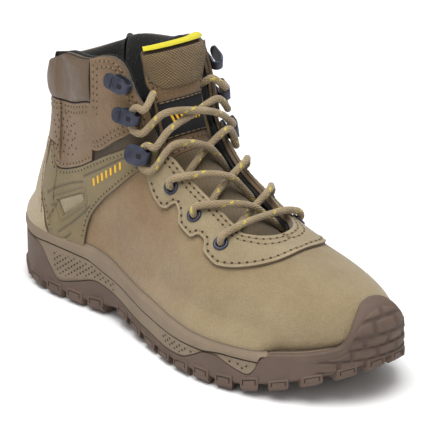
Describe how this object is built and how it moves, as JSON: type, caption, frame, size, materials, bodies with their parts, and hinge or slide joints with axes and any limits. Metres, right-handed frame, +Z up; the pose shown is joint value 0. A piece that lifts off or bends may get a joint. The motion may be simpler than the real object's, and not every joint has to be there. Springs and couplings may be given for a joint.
{
  "type": "steel toe work boot",
  "caption": "Right ankle-high lace-up safety boot with steel toe cap, lugged rubber sole, speed hooks and a padded tongue that folds inward.",
  "frame": {"origin": "on the ground, under the centre of the boot's bounding box", "axes": "+X from heel to toe, +Y to the medial (inner) side of a right boot, +Z up"},
  "size_m": [0.3042, 0.1134, 0.1758],
  "materials": {
    "nubuck": "brushed, matt",
    "smooth_leather": "smooth, satin",
    "band": "moulded synthetic, satin",
    "brown_mesh": "woven, matt",
    "black_mesh": "woven, matt",
    "tan_weave": "woven, matt",
    "yellow_lining": "woven, matt",
    "lace": "braided, matt",
    "hardware": "satin",
    "steel": "brushed",
    "midsole": "matt",
    "rubber": "matt",
    "board": "matt",
    "foam": "matt",
    "label": "woven, matt"
  },
  "bodies": {
    "boot": {"outsole": "rubber", "midsole": "midsole", "puncture_plate": "steel", "insole_board": "board", "vamp": "nubuck", "heel_cover": "nubuck", "collar_pad": "smooth_leather", "eyestay": "nubuck", "lining": "black_mesh", "collar_lining": "black_mesh", "toe_cap": "steel", "heel_counter": "board", "lace": "lace", "quarter_lateral": "brown_mesh", "side_band_lateral": "band", "ankle_panel_lateral": "nubuck", "gusset_lateral": "black_mesh", "lace_tip_lateral": "hardware", "eyelet_lateral_1": "hardware", "hook_lateral_1": "hardware", "hook_rivet_lateral_1": "hardware", "eyelet_lateral_2": "hardware", "hook_lateral_2": "hardware", "hook_rivet_lateral_2": "hardware", "eyelet_lateral_3": "hardware", "hook_lateral_3": "hardware", "hook_rivet_lateral_3": "hardware", "quarter_medial": "brown_mesh", "side_band_medial": "band", "ankle_panel_medial": "nubuck", "gusset_medial": "black_mesh", "lace_tip_medial": "hardware", "eyelet_medial_1": "hardware", "hook_medial_1": "hardware", "hook_rivet_medial_1": "hardware", "eyelet_medial_2": "hardware", "hook_medial_2": "hardware", "hook_rivet_medial_2": "hardware", "eyelet_medial_3": "hardware", "hook_medial_3": "hardware", "hook_rivet_medial_3": "hardware"},
    "tongue": {"tongue_padding": "foam", "tongue_lining": "yellow_lining", "tongue_mesh": "brown_mesh", "tongue_panel": "nubuck", "tongue_top": "tan_weave", "tongue_label": "label"},
    "footbed": {"footbed": "foam"}
  },
  "joints": [
    {"name": "tongue_fold", "type": "hinge", "parent": "boot", "child": "tongue", "pos_m": [0.0775, 0, 0.066], "axis": [0, -1, 0], "range_deg": [0, 12], "stiffness_Nm_per_rad": 1.5, "springref_deg": -2.86},
    {"name": "footbed_lift", "type": "hinge", "parent": "boot", "child": "footbed", "pos_m": [0.1312, 0, 0.0365], "axis": [0, 1, 0], "range_deg": [0, 3]}
  ]
}
